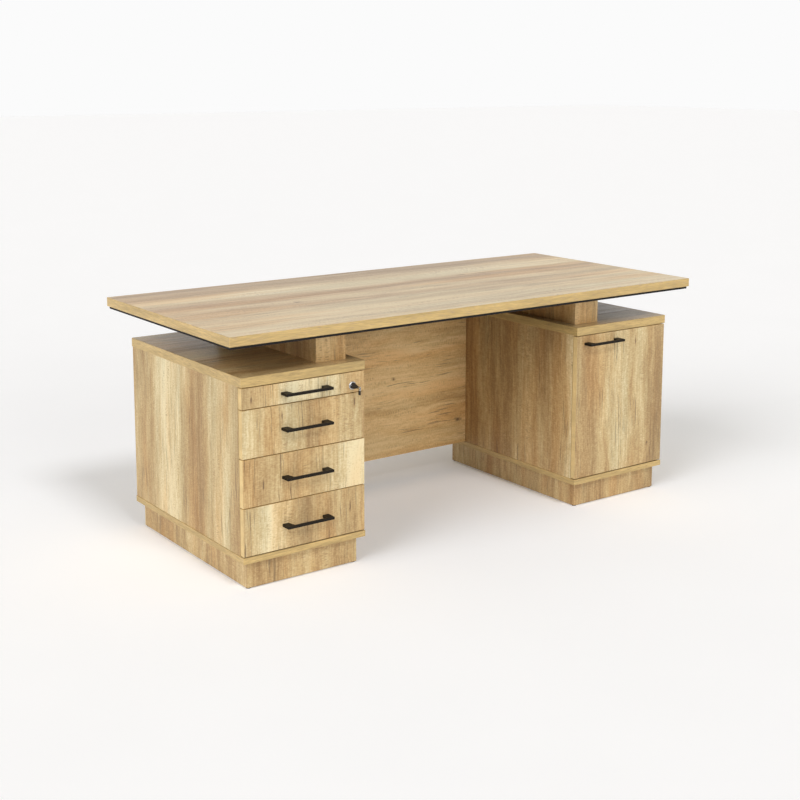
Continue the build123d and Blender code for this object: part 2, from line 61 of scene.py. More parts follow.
# Each board's node, grain axis, thickness axis, tones across it from its low side, and knots.
BOARDS = (
    ("left_outer_side", Z, X, (0.28, 0.56, 0.74, 0.46, 0.12, 0.26, 0.76, 0.95, 0.76, 0.34, 0.44, 0.36), ()),
    ("left_inner_side", Z, X, (0.45, 0.6, 0.3, 0.5, 0.8, 0.4, 0.6, 0.35, 0.5), ((0.31, 0.05, 0.005, 1.7),)),
    ("right_inner_side", Z, X, (0.80, 0.23, 0.44, 0.32, 0.66, 0.34, 0.23, 0.40, 0.26, 0.20, 0.34, 0.36), ()),
    (
        "right_outer_side",
        Z,
        X,
        (0.5, 0.3, 0.6, 0.85, 0.5, 0.35, 0.65, 0.9, 0.45, 0.3, 0.5),
        ((0.44, 0.12, 0.005, 1.7),),
    ),
    ("left_back_panel", Z, Y, (0.4, 0.7, 0.5, 0.3, 0.6, 0.8, 0.4), ()),
    ("right_back_panel", Z, Y, (0.6, 0.35, 0.5, 0.85, 0.6, 0.3, 0.5), ((0.36, 0.66, 0.005, 1.7),)),
    ("left_top_slab", X, Z, (0.62, 0.52, 0.68, 0.54, 0.66, 0.50, 0.72, 0.60, 0.64), ()),
    ("right_top_slab", X, Z, (0.40, 0.52, 0.36, 0.46, 0.34, 0.50, 0.32, 0.44), ()),
    ("left_bottom_slab", X, Z, (0.5, 0.6, 0.4, 0.7, 0.5, 0.4), ()),
    ("right_bottom_slab", X, Z, (0.4, 0.7, 0.5, 0.35, 0.6, 0.5), ()),
    (
        "modesty_panel",
        X,
        Y,
        (0.70, 0.78, 0.66, 0.88, 0.56, 0.82, 0.98, 0.68, 0.76, 0.88, 0.50, 0.76, 1.05, 0.86, 0.94),
        ((0.392, 0.19, 0.005, 1.8), (0.10, 0.38, 0.003, 1.6), (-0.18, 0.47, 0.003, 6.0)),
    ),
    ("shelf", X, Z, (0.5, 0.7, 0.4, 0.6, 0.5), ()),
    (
        "left_plinth",
        Z,
        BOTH,
        (0.50, 0.28, 0.22, 0.44, 0.56, 0.42, 0.30, 0.50, 0.20, 0.36, 0.54, 0.28, 0.40),
        (),
    ),
    (
        "right_plinth",
        Z,
        BOTH,
        (0.34, 0.44, 0.28, 0.36, 0.46, 0.30, 0.48, 0.24, 0.32, 0.18, 0.52, 0.28, 0.24),
        (),
    ),
    # The risers' side faces take darker tones than their fronts: partly darker decor, partly painted shade on the
    # sides under the desktop.
    ("left_riser", Z, BOTH, (0.5, 0.3, 0.5, 0.35, 0.56, 0.35, 0.4, 0.86, 0.62), ()),
    ("right_riser", Z, BOTH, (0.4, 0.5, 0.35, 0.5, 0.3, 0.45, 0.35, 0.80, 0.70), ()),
)
FRONTS = (
    (
        "drawer_1_front",
        (0.24, 0.40, 0.62, 0.98, 1.05, 1.00, 0.76, 0.70, 0.44, 0.38),
        ((0.555, -0.807, 0.0018, 7.0),),
    ),
    (
        "drawer_2_front",
        (0.62, 0.52, 0.44, 0.46, 0.64, 0.22, 0.42, 0.44, 0.30, 0.30),
        # On drawer_2_front the first mark, a crack just under the lock, is painted shadow of the hanging key.
        ((0.50, -0.462, 0.0016, 9.0), (0.49, -0.708, 0.0014, 10.0)),
    ),
    (
        "drawer_3_front",
        (0.48, 0.32, 0.46, 0.58, 0.44, 0.36, 0.60, 0.80, 0.97, 0.86),
        ((0.30, -0.772, 0.0018, 11.0),),
    ),
    (
        "drawer_4_front",
        (0.38, 0.70, 0.94, 0.66, 0.20, 0.38, 0.48, 0.40, 0.26, 0.48),
        ((0.183, -0.478, 0.0018, 9.0),),
    ),
    (
        "door",
        (0.34, 0.22, 0.28, 0.56, 0.44, 0.80, 0.46, 0.58, 0.24, 0.18, 0.28),
        ((0.176, 0.769, 0.003, 2.2), (0.545, 0.70, 0.0016, 9.0)),
    ),
)

# Painted warm bounce light: these boards stand in shade under the desktop, and their colour leans to red by this
# much, past that of the others.
PAINTED_BOUNCE = {
    "modesty_panel": 0.85,
    "left_riser": 1.0,
    "right_riser": 0.6,
    "right_inner_side": 0.15,
    "left_top_slab": 0.65,
    "right_top_slab": 0.3,
}
# The colour of that painted warm bounce light.
PAINTED_BOUNCE_TINT = (1.0, 0.80, 0.60)


# ---------------------------------------------------------------- settings


class OakSettings(bpy.types.PropertyGroup):
    """Colours and scale of an oak-look melamine decor."""

    pale: FloatVectorProperty(
        name="Pale", description="Lightest bands of the grain", subtype="COLOR", default=(0.80, 0.685, 0.43)
    )
    honey: FloatVectorProperty(
        name="Honey", description="Ordinary ground of the grain", subtype="COLOR", default=(0.595, 0.46, 0.234)
    )
    tan: FloatVectorProperty(
        name="Tan", description="Darker bands of the grain", subtype="COLOR", default=(0.455, 0.299, 0.130)
    )
    brown: FloatVectorProperty(
        name="Brown", description="Darkest bands", subtype="COLOR", default=(0.278, 0.162, 0.066)
    )
    check: FloatVectorProperty(
        name="Check", description="Checks, saw ticks and knots", subtype="COLOR", default=(0.12, 0.075, 0.04)
    )
    banding: FloatVectorProperty(
        name="Slab banding",
        description="Ground of the thick slabs' edges",
        subtype="COLOR",
        default=(0.51, 0.355, 0.138),
    )
    edging: FloatVectorProperty(
        name="Board edging",
        description="Ground of the thin boards' edges",
        subtype="COLOR",
        default=(0.70, 0.505, 0.225),
    )
    stretch: FloatProperty(
        name="Stretch", description="How drawn out the figure is along the grain", default=1.0, min=0.2, max=4.0
    )
    cloudy: FloatProperty(
        name="Clouds", description="How much the tone drifts within a band", default=1.1, min=0.0, max=2.0
    )
    streaky: FloatProperty(
        name="Streaks", description="How much fine streaks show", default=0.72, min=0.0, max=2.0
    )
    rippled: FloatProperty(
        name="Ripples",
        description="How much the ripples square to the grain show",
        default=0.62,
        min=0.0,
        max=2.0,
    )
    gloss: FloatProperty(
        name="Roughness", description="Roughness of the face", default=0.48, min=0.05, max=1.0, subtype="FACTOR"
    )
    polish: FloatProperty(
        name="Slab polish", description="How much smoother the slabs' faces are", default=0.16, min=0.0, max=0.4
    )
    shine: FloatProperty(
        name="Shine",
        description="Strength of the face's reflection",
        default=0.40,
        min=0.0,
        max=1.0,
        subtype="FACTOR",
    )
    arris: FloatProperty(
        name="Arris", description="Rounding of the boards' outer edges", default=0.3 * MM, unit="LENGTH"
    )


class HandleSettings(bpy.types.PropertyGroup):
    """Finish of the bar pulls."""

    rough: FloatProperty(
        name="Roughness", description="Roughness of the coat", default=0.5, min=0.1, max=0.9, subtype="FACTOR"
    )
    shine: FloatProperty(
        name="Shine", description="Strength of its reflection", default=0.16, min=0.0, max=1.0, subtype="FACTOR"
    )
    colour: FloatVectorProperty(
        name="Colour", description="Powder coat", subtype="COLOR", default=(0.0095, 0.0066, 0.0040)
    )


class HardwareSettings(bpy.types.PropertyGroup):
    """Colours of the boxes, the steel and the plastics, and sizes of the small details."""

    walls: FloatVectorProperty(
        name="Walls", description="Melamine of the drawer boxes", subtype="COLOR", default=(0.62, 0.57, 0.48)
    )
    bottoms: FloatVectorProperty(
        name="Bottoms", description="Hardboard of the drawer boxes", subtype="COLOR", default=(0.66, 0.62, 0.54)
    )
    zinc: FloatVectorProperty(
        name="Zinc", description="Plated steel inside", subtype="COLOR", default=(0.50, 0.505, 0.52)
    )
    chrome: FloatVectorProperty(
        name="Chrome", description="Plating of the lock", subtype="COLOR", default=(0.48, 0.47, 0.46)
    )
    under_top: FloatVectorProperty(
        name="Under top", description="Black board under the top", subtype="COLOR", default=(0.012, 0.010, 0.009)
    )
    key: FloatVectorProperty(
        name="Key", description="Plastic of the key", subtype="COLOR", default=(0.012, 0.011, 0.010)
    )
    bushes: FloatVectorProperty(
        name="Bushes", description="Plastic of bushes and catch", subtype="COLOR", default=(0.30, 0.30, 0.29)
    )
    glides: FloatVectorProperty(
        name="Glides", description="Plastic of glides and levers", subtype="COLOR", default=(0.02, 0.02, 0.02)
    )
    screw_radius: FloatProperty(
        name="Screw radius", description="Radius of the runner screws' heads", default=3.4 * MM, unit="LENGTH"
    )
    screw_rise: FloatProperty(
        name="Screw rise", description="Height of the runner screws' heads", default=1.5 * MM, unit="LENGTH"
    )
    lever_length: FloatProperty(
        name="Lever length", description="Length of a release lever", default=52.0 * MM, unit="LENGTH"
    )
    lever_thick: FloatProperty(
        name="Lever thickness", description="Thickness of a release lever", default=2.0 * MM, unit="LENGTH"
    )
    pin_clear: FloatProperty(
        name="Pin clearance", description="Gap from collar to bush", default=0.05 * MM, unit="LENGTH"
    )


class StageSettings(bpy.types.PropertyGroup):
    """Floor, light and camera."""

    lens: FloatProperty(name="Lens", description="Focal length in millimetres", default=60.1, min=10, max=300)
    turn: FloatProperty(
        name="Turn",
        description="Heading of the camera, from straight at the drawers",
        subtype="ANGLE",
        default=math.radians(35.51),
    )
    tilt: FloatProperty(
        name="Tilt", description="Camera tilt below the horizon", subtype="ANGLE", default=math.radians(8.85)
    )
    place: FloatVectorProperty(
        name="Place", description="Place of the camera", unit="LENGTH", default=(-2.5928, -3.509, 1.4536)
    )
    shift_x: FloatProperty(name="Shift across", description="Shift of the frame to the right", default=0.0138)
    shift_y: FloatProperty(name="Shift up", description="Shift of the frame upwards", default=-0.15)
    front: FloatProperty(name="Front", description="Strength of the light from the front", default=0.95, min=0)
    low: FloatProperty(name="Low", description="Strength of the low light from the front", default=0.9, min=0)
    left: FloatProperty(name="Left", description="Strength of the light from the left", default=1.95, min=0)
    sky: FloatProperty(name="Sky", description="Strength of the even light all round", default=0.33, min=0)
    backdrop: FloatProperty(name="Backdrop", description="Brightness of what is behind", default=0.965, min=0)


class DeskSettings(bpy.types.PropertyGroup):
    """Everything about the desk that a user would change."""

    panels: PointerProperty(name="Panels", description="Decor of the pedestals and panels", type=OakSettings)
    top: PointerProperty(name="Top", description="Decor of the desktop", type=OakSettings)
    handles: PointerProperty(name="Handles", description="Finish of the bar pulls", type=HandleSettings)
    hardware: PointerProperty(name="Hardware", description="Boxes, steel and plastics", type=HardwareSettings)
    stage: PointerProperty(name="Stage", description="Floor, light and camera", type=StageSettings)


# ---------------------------------------------------------------- shader helpers


class Graph:
    """A short way to write a node tree: each call adds one node and returns its main output."""

    def __init__(self, tree):
        self.tree = tree

    def add(self, kind, inputs=(), out=0, **settings):
        made = self.tree.nodes.new(kind)
        for key, value in settings.items():
            setattr(made, key, value)
        for key, value in dict(inputs).items():
            socket = made.inputs[key]
            if isinstance(value, bpy.types.NodeSocket):
                self.tree.links.new(value, socket)
            else:
                socket.default_value = value
        return made.outputs[out]

    def math(self, operation, a, b=0.0, c=0.0):
        return self.add("ShaderNodeMath", {0: a, 1: b, 2: c}, operation=operation)

    def scaled(self, vector, factors):
        return self.add("ShaderNodeVectorMath", {0: vector, 1: factors}, operation="MULTIPLY")

    def noise(self, vector, factors, detail=2.0, roughness=0.5, distortion=0.0):
        """Noise that is squeezed by its own factor along each axis, in cycles a metre."""
        place = self.scaled(vector, factors)
        inputs = {
            "Vector": place,
            "Scale": 1.0,
            "Detail": detail,
            "Roughness": roughness,
            "Distortion": distortion,
        }
        return self.add("ShaderNodeTexNoise", inputs)

    def span(self, value, low, high, to_low=0.0, to_high=1.0):
        """Eases a value from one range to another, and holds it at the ends."""
        inputs = {0: value, 1: low, 2: high, 3: to_low, 4: to_high}
        return self.add("ShaderNodeMapRange", inputs, interpolation_type="SMOOTHSTEP")

    def grey(self, value):
        return self.add("ShaderNodeCombineColor", {0: value, 1: value, 2: value})

    def shaded(self, colour, shade):
        return self.mix(1.0, colour, self.grey(shade), "MULTIPLY")

    def ramp(self, value, stops):
        """A smooth ramp through evenly spaced stops, each a colour or a grey tone."""
        made = self.tree.nodes.new("ShaderNodeValToRGB")
        bar = made.color_ramp
        bar.interpolation = "B_SPLINE"
        while len(bar.elements) < len(stops):
            bar.elements.new(1.0)
        for index, stop in enumerate(stops):
            colour = stop if hasattr(stop, "__len__") else (stop,) * 3
            bar.elements[index].position = index / (len(stops) - 1)
            bar.elements[index].color = (*colour, 1.0)
        self.tree.links.new(value, made.inputs[0])
        return made.outputs[0]

    def mix(self, factor, a, b, blend="MIX"):
        made = self.tree.nodes.new("ShaderNodeMix")
        made.data_type = "RGBA"
        made.blend_type = blend
        for index, value in ((0, factor), (6, a), (7, b)):
            if isinstance(value, bpy.types.NodeSocket):
                self.tree.links.new(value, made.inputs[index])
            elif index:
                made.inputs[index].default_value = (*value, 1.0)
            else:
                made.inputs[index].default_value = value
        return made.outputs[2]


def new_material(name):
    """An empty node material, its graph and its shader."""
    material = bpy.data.materials.new(name)
    material.use_nodes = True
    graph = Graph(material.node_tree)
    shader = material.node_tree.nodes["Principled BSDF"]
    return material, graph, shader


def object_place(graph):
    return graph.add("ShaderNodeTexCoord", out=3)


def bump(graph, shader, height, depth, strength=1.0):
    """Feeds a height to the shader's normal. Depth is in metres."""
    inputs = {"Strength": strength, "Distance": depth, "Height": height}
    normal = graph.add("ShaderNodeBump", inputs)
    graph.tree.links.new(normal, shader.inputs["Normal"])


def axis_parts(graph, vector):
    parts = graph.tree.nodes.new("ShaderNodeSeparateXYZ")
    graph.tree.links.new(vector, parts.inputs[0])
    return parts.outputs


# ---------------------------------------------------------------- materials


def oak(name, node, settings, along, through, layout, offset, knots=(), edges=True):
    """Oak-look melamine for one board.

    along is the grain's axis and through the board's thickness. layout gives the tones across the board, from its
    low side to its high side, 0 for brown and 1 for cream. offset is the cut of the decor. Each knot is its place
    along the grain, its place across it, its radius, and how far it is drawn out: a crack is a long thin knot.
    """
    material, g, shader = new_material(name)
    raw = axis_parts(g, object_place(g))
    low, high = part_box(node)
    if through == BOTH:
        width, first, last = g.math("SUBTRACT", raw[X], raw[Y]), low[X] - high[Y], high[X] - low[Y]
    else:
        across = 3 - along - through
        width, first, last = raw[across], low[across], high[across]
    length = g.math("ADD", g.math("MULTIPLY", raw[along], 1.0 / settings.stretch), offset)
    for knot in knots:
        width = knot_pull(g, raw[along], width, *knot)

    # The grain wanders slowly, so that no band runs dead straight.
    flat = g.add("ShaderNodeCombineXYZ", {0: length, 1: width, 2: offset})
    sway = g.math("MULTIPLY_ADD", g.noise(flat, (2.2, 3.0, 1.0), 3.0, 0.55), 0.05, -0.025)
    swayed = g.math("ADD", width, sway)
    grain = g.add("ShaderNodeCombineXYZ", {0: length, 1: swayed, 2: offset})

    share = g.math("MULTIPLY_ADD", swayed, 1.0 / (last - first), -first / (last - first))
    bands = g.ramp(share, layout)
    cloud = g.noise(grain, (2.6, 17.0, 1.0), 3.0, 0.58, 0.3)
    streaks = g.noise(grain, (2.4, 75.0, 1.0), 4.0, 0.62, 0.4)
    fibre = g.noise(grain, (15.0, 330.0, 1.0), 3.0, 0.62)
    mottle = g.noise(grain, (70.0, 110.0, 1.0), 3.0, 0.6)
    ripple = g.noise(grain, (270.0, 120.0, 1.0), 2.0, 0.6, 0.2)
    patch = g.noise(grain, (4.2, 13.0, 1.0), 2.0, 0.5, 0.2)

    # Each pattern shifts the bands' tone to either side by its own weight.
    weights = (
        (cloud, settings.cloudy),
        (streaks, 0.8 * settings.streaky),
        (fibre, settings.streaky),
        (mottle, 0.6 * settings.rippled),
        (ripple, settings.rippled),
    )
    tone = bands
    for pattern, weight in weights:
        tone = g.math("MULTIPLY_ADD", g.math("SUBTRACT", pattern, 0.5), weight, tone)
    colour = g.ramp(tone, (settings.brown, settings.tan, settings.honey, settings.pale))

    # Some bands lean towards red, others towards grey.
    hue = g.noise(grain, (1.4, 10.0, 1.0), 2.0, 0.5)
    colour = g.mix(g.span(hue, 0.50, 0.64, 0.0, 0.72), colour, (1.0, 0.88, 0.76), "MULTIPLY")
    colour = g.mix(g.span(hue, 0.48, 0.36, 0.0, 0.62), colour, (0.88, 0.93, 0.98), "MULTIPLY")

    # Painted warm bounce light on the boards that stand in shade under the desktop.
    if node in PAINTED_BOUNCE:
        colour = g.mix(PAINTED_BOUNCE[node], colour, PAINTED_BOUNCE_TINT, "MULTIPLY")

    # Saw ticks stand in columns, square to the grain.
    column = g.span(g.noise(grain, (5.0, 70.0, 1.0), 2.0), 0.48, 0.60)
    tick = g.noise(grain, (330.0, 55.0, 1.0), 2.0, 0.5)
    ticks = g.math("MULTIPLY", column, g.span(tick, 0.50, 0.64))
    ticks = g.math("MULTIPLY", ticks, g.span(patch, 0.44, 0.58))
    colour = g.mix(g.math("MULTIPLY", ticks, 0.55), colour, settings.brown)

    # Short dark checks open along the grain.
    needle = g.noise(grain, (8.0, 210.0, 1.0), 3.0, 0.65, 0.2)
    checks = g.math("MULTIPLY", g.span(needle, 0.555, 0.655), g.span(patch, 0.55, 0.42))
    checks = g.math("MULTIPLY", checks, g.span(cloud, 0.64, 0.50))
    colour = g.mix(g.math("MULTIPLY", checks, 0.70), colour, settings.check)
    for knot in knots:
        colour = knot_colour(g, colour, raw[along], width, mottle, settings, *knot)

    if edges:
        normal = axis_parts(g, g.add("ShaderNodeTexCoord", out=1))
        face = g.math("GREATER_THAN", g.math("ABSOLUTE", normal[through]), 0.5)
        strip = g.math("MULTIPLY", g.span(fibre, 0.30, 0.70, 0.86, 1.08), g.span(streaks, 0.3, 0.7, 0.9, 1.1))
        colour = g.mix(face, g.shaded(settings.edging, strip), colour)
    g.tree.links.new(colour, shader.inputs["Base Color"])

    rough = settings.gloss - (settings.polish if node.endswith("top_slab") else 0.0)
    g.tree.links.new(g.span(streaks, 0.3, 0.7, rough + 0.07, rough - 0.05), shader.inputs["Roughness"])
    shader.inputs["Specular IOR Level"].default_value = settings.shine
    height = g.math("MULTIPLY_ADD", ticks, -0.5, g.math("MULTIPLY", fibre, 0.6))
    height = g.math("MULTIPLY_ADD", checks, -0.8, height)
    bump(g, shader, height, 0.12 * MM, 0.5)
    return material


def knot_distance(g, along, width, place, side, radius, drawn):
    """How far a point is from a knot, in the knot's own radii."""
    down = g.math("MULTIPLY_ADD", along, 1.0 / (drawn * radius), -place / (drawn * radius))
    over = g.math("MULTIPLY_ADD", width, 1.0 / radius, -side / radius)
    return g.math("SQRT", g.math("ADD", g.math("MULTIPLY", down, down), g.math("MULTIPLY", over, over)))


def knot_pull(g, along, width, place, side, radius, drawn):
    """Bends the grain round a knot."""
    near = g.span(knot_distance(g, along, width, place, side, radius * 4.0, drawn), 0.0, 1.0, radius * 1.4, 0.0)
    beside = g.math("SUBTRACT", width, side)
    turn = g.math("DIVIDE", beside, g.math("ADD", g.math("ABSOLUTE", beside), radius))
    return g.math("SUBTRACT", width, g.math("MULTIPLY", near, turn))


def knot_colour(g, colour, along, width, ragged, settings, place, side, radius, drawn):
    """Draws a knot's dark heart in a ring of darker wood, with ragged edges."""
    away = knot_distance(g, along, width, place, side, radius, drawn)
    away = g.math("MULTIPLY", away, g.span(ragged, 0.25, 0.75, 0.45, 1.75))
    colour = g.mix(g.span(away, 3.4, 0.8, 0.0, 0.50), colour, settings.tan)
    colour = g.mix(g.span(away, 1.9, 0.9, 0.0, 0.40), colour, settings.brown)
    return g.mix(g.span(away, 1.1, 0.2, 0.0, 0.75), colour, settings.check)


def edge_oak(name, settings, offset):
    """Oak-look edge banding: fine grain along the strip, whichever way the strip runs."""
    material, g, shader = new_material(name)
    place = g.add("ShaderNodeVectorMath", {0: object_place(g), 1: offset}, operation="ADD")
    fine = g.noise(place, (26.0, 26.0, 700.0), 3.0, 0.6)
    cloud = g.noise(place, (5.0, 5.0, 60.0), 3.0, 0.6)
    fleck = g.noise(place, (42.0, 42.0, 520.0), 2.0, 0.5)
    shade = g.math("MULTIPLY", g.span(fine, 0.3, 0.7, 0.78, 1.14), g.span(cloud, 0.3, 0.7, 0.86, 1.12))
    colour = g.shaded(settings.banding, shade)
    colour = g.mix(g.math("MULTIPLY", g.span(fleck, 0.58, 0.68), 0.55), colour, settings.brown)
    g.tree.links.new(colour, shader.inputs["Base Color"])
    g.tree.links.new(g.span(cloud, 0.3, 0.7, 0.44, 0.34), shader.inputs["Roughness"])
    bump(g, shader, fine, 0.08 * MM, 0.4)
    return material


def coated(name, colour, rough, grit, depth, shine=0.5):
    """Powder coat or moulded plastic: a fine even grit with slight wear in tone."""
    material, g, shader = new_material(name)
    place = object_place(g)
    fine = g.noise(place, (grit,) * 3, 3.0, 0.6)
    cloud = g.noise(place, (18.0,) * 3, 3.0, 0.6)
    shade = g.math("MULTIPLY", g.span(fine, 0.3, 0.7, 0.85, 1.15), g.span(cloud, 0.3, 0.7, 0.88, 1.12))
    g.tree.links.new(g.shaded(colour, shade), shader.inputs["Base Color"])
    g.tree.links.new(g.span(cloud, 0.3, 0.7, rough - 0.05, rough + 0.07), shader.inputs["Roughness"])
    shader.inputs["Specular IOR Level"].default_value = shine
    bump(g, shader, fine, depth, 0.6)
    return material


def bright_metal(name, colour, rough, drawn, cloudy=0.06):
    """Plated steel: faint lines along the draw, clouds in the plating."""
    material, g, shader = new_material(name)
    place = object_place(g)
    lines = g.noise(place, drawn, 3.0, 0.6)
    cloud = g.noise(place, (35.0,) * 3, 4.0, 0.6)
    shade = g.math("MULTIPLY", g.span(lines, 0.3, 0.7, 0.93, 1.05), g.span(cloud, 0.3, 0.7, 0.90, 1.06))
    g.tree.links.new(g.shaded(colour, shade), shader.inputs["Base Color"])
    g.tree.links.new(g.span(cloud, 0.3, 0.7, rough - cloudy, rough + cloudy), shader.inputs["Roughness"])
    shader.inputs["Metallic"].default_value = 1.0
    bump(g, shader, lines, 0.02 * MM, 0.5)
    return material


def pale_board(name, colour, drawn, rough=0.5):
    """Plain pale melamine or hardboard, with a faint drawn print and specks."""
    material, g, shader = new_material(name)
    place = object_place(g)
    lines = g.noise(place, drawn, 3.0, 0.6)
    speck = g.noise(place, (900.0,) * 3, 2.0, 0.5)
    shade = g.math("MULTIPLY", g.span(lines, 0.3, 0.7, 0.93, 1.03), g.span(speck, 0.25, 0.75, 0.96, 1.03))
    g.tree.links.new(g.shaded(colour, shade), shader.inputs["Base Color"])
    g.tree.links.new(g.span(lines, 0.3, 0.7, rough + 0.05, rough - 0.05), shader.inputs["Roughness"])
    bump(g, shader, speck, 0.05 * MM, 0.4)
    return material


def dress(node, material):
    """Gives a CAD node one material, in every slot it has."""
    data = NODES[node].data
    data.materials.clear()
    data.materials.append(material)
    for polygon in data.polygons:
        polygon.material_index = 0


# ---------------------------------------------------------------- pieces


def settle(shape, name, body, slot, material, *nodes, smooth=0.0):
    """Turns a bmesh into a finished piece that rides on a body and stands for the given CAD nodes."""
    mesh = bpy.data.meshes.new(name)
    shape.to_mesh(mesh)
    shape.free()
    mesh.materials.append(material)
    piece = bpy.data.objects.new(name, mesh)
    bpy.context.scene.collection.objects.link(piece)
    if smooth:
        mesh.shade_smooth()
        mesh.set_sharp_from_angle(angle=math.radians(smooth))
    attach(piece, body)
    if nodes:
        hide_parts(*nodes)


def merged(node):
    """A CAD node's mesh as one closed shell, with its flat faces whole."""
    shape = bmesh.new()
    shape.from_mesh(NODES[node].data)
    bmesh.ops.remove_doubles(shape, verts=shape.verts, dist=0.01 * MM)
    bmesh.ops.dissolve_limit(shape, angle_limit=math.radians(0.5), verts=shape.verts, edges=shape.edges)
    bmesh.ops.recalc_face_normals(shape, faces=shape.faces)
    return shape


def eased(node, body, slot, material, width):
    """A board with its outer arrises softened, standing for its CAD node."""
    low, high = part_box(node)
    shape = merged(node)
    outer = []
    for edge in shape.edges:
        middle = (edge.verts[0].co + edge.verts[1].co) / 2
        sides = sum(min(abs(middle[i] - low[i]), abs(middle[i] - high[i])) < 0.02 * MM for i in (X, Y, Z))
        if sides >= 2 and len(edge.link_faces) == 2 and edge.calc_face_angle() > 1.0:
            outer.append(edge)
    round_off(shape, outer, width, 2)
    settle(shape, f"{node}_board", body, slot, material, node, smooth=25.0)


def round_off(shape, edges, width, segments, clamp=False):
    """Bevels edges. A clamped bevel stops short of running into its neighbour."""
    bmesh.ops.bevel(
        shape,
        geom=edges,
        offset=width,
        offset_type="OFFSET",
        segments=segments,
        profile=0.5,
        affect="EDGES",
        material=-1,
        clamp_overlap=clamp,
    )


def lathe(shape, outline, centre, axis=Y, steps=48, closed=True):
    """Spins an outline about an axis through centre.

    The outline's points are (radius, place along the axis). An open outline begins and ends on the axis.
    """
    out = X if axis != X else Z
    verts = []
    for radius, along in outline:
        point = Vector(centre)
        point[out] += radius
        point[axis] = along
        verts.append(shape.verts.new(point))
    ends = verts[1:] + verts[:1] if closed else verts[1:]
    edges = [shape.edges.new(pair) for pair in zip(verts, ends)]
    turn = Vector((0.0, 0.0, 0.0))
    turn[axis] = 1.0
    geom = [*verts, *edges]
    bmesh.ops.spin(shape, geom=geom, cent=centre, axis=turn, angle=math.tau, steps=steps, use_merge=True)
    bmesh.ops.remove_doubles(shape, verts=shape.verts, dist=0.001 * MM)


def rounded_block(shape, low, high, rounding, axis=None, segments=3):
    """Adds a block between two corners, with all its edges rounded, or only those along one axis."""
    low, high = Vector(low), Vector(high)
    place = Matrix.Translation((low + high) / 2) @ Matrix.Diagonal((*(high - low), 1.0))
    made = bmesh.ops.create_cube(shape, size=1.0, matrix=place)
    edges = {edge for vert in made["verts"] for edge in vert.link_edges}
    if axis is not None:
        edges = {e for e in edges if abs((e.verts[1].co - e.verts[0].co).normalized()[axis]) > 0.9}
    round_off(shape, list(edges), rounding, segments, clamp=True)


# A pan head with a socket: shares of its radius, and of its rise.
HEAD = (
    (0.0, 0.30),
    (0.34, 0.30),
    (0.42, 0.92),
    (0.62, 1.0),
    (0.84, 0.82),
    (0.97, 0.45),
    (1.0, 0.0),
    (0.0, 0.0),
)


def screw_head(shape, place, axis, outward, radius, rise):
    """Adds a screw's head. place is on the face that it is screwed down to."""
    outline = [(r * radius, place[axis] + outward * h * rise) for r, h in HEAD]
    lathe(shape, outline, place, axis, steps=20, closed=False)


def closed_up(shape):
    """Turns all faces of closed shells outwards."""
    bmesh.ops.recalc_face_normals(shape, faces=shape.faces)
    return shape


def islands(node):
    """The lowest and highest corners of each separate solid in a CAD node."""
    shape = merged(node)
    left = set(shape.verts)
    boxes = []
    while left:
        found, queue = set(), [left.pop()]
        while queue:
            vert = queue.pop()
            found.add(vert)
            for edge in vert.link_edges:
                other = edge.other_vert(vert)
                if other in left:
                    left.discard(other)
                    queue.append(other)
        places = [vert.co for vert in found]
        low = Vector([min(place[i] for place in places) for i in (X, Y, Z)])
        high = Vector([max(place[i] for place in places) for i in (X, Y, Z)])
        boxes.append((low, high))
    shape.free()
    return boxes


# ---------------------------------------------------------------- operators


class DESK_OT_desktop(bpy.types.Operator):
    """Finish the desktop, its edge banding and the black board under it"""

    bl_idname = "desk.desktop"
    bl_label = "Desktop"

    def execute(self, context):
        desk = context.scene.teacher_desk
        tones = (0.86, 0.62, 0.80, 0.50, 0.66, 0.30, 0.74, 0.12, 0.60, 0.96, 0.44, 0.20, 0.30)
        knots = ((-0.46, -0.03, 0.004, 3.0), (0.31, 0.12, 0.003, 5.0))
        dress("desktop", oak("oak_desktop", "desktop", desk.top, X, Z, tones, 3.1, knots, edges=False))
        dress("desktop_edge_band", edge_oak("banding_desktop", desk.top, (0.3, 0.1, 0.0)))
        under = coated("black_board", desk.hardware.under_top, 0.62, 900.0, 0.05 * MM, shine=0.18)
        dress("sub_top", under)
        return {"FINISHED"}


class DESK_OT_carcasses(bpy.types.Operator):
    """Finish the pedestals' boards, the risers, the plinths, the shelf and the modesty panel"""

    bl_idname = "desk.carcasses"
    bl_label = "Carcasses"

    def execute(self, context):
        decor = context.scene.teacher_desk.panels
        for index, (node, along, through, tones, knots) in enumerate(BOARDS):
            edges = through != BOTH and node != "modesty_panel"
            board = oak(f"oak_{node}", node, decor, along, through, tones, 1.7 * index, knots, edges)
            if through == BOTH:
                dress(node, board)
            else:
                eased(node, "root", "panel_oak", board, decor.arris)
        dress("slab_edge_bands", edge_oak("banding_slabs", decor, (1.3, 2.1, 0.7)))
        return {"FINISHED"}


class DESK_OT_fronts(bpy.types.Operator):
    """Finish the drawer fronts and the door, each cut from its own stretch of decor"""

    bl_idname = "desk.fronts"
    bl_label = "Fronts"

    def execute(self, context):
        decor = context.scene.teacher_desk.panels
        for index, (node, tones, knots) in enumerate(FRONTS):
            front = oak(f"oak_{node}", node, decor, Z, Y, tones, 40.0 + 1.7 * index, knots)
            eased(node, node.removesuffix("_front"), "panel_oak", front, decor.arris)
        return {"FINISHED"}


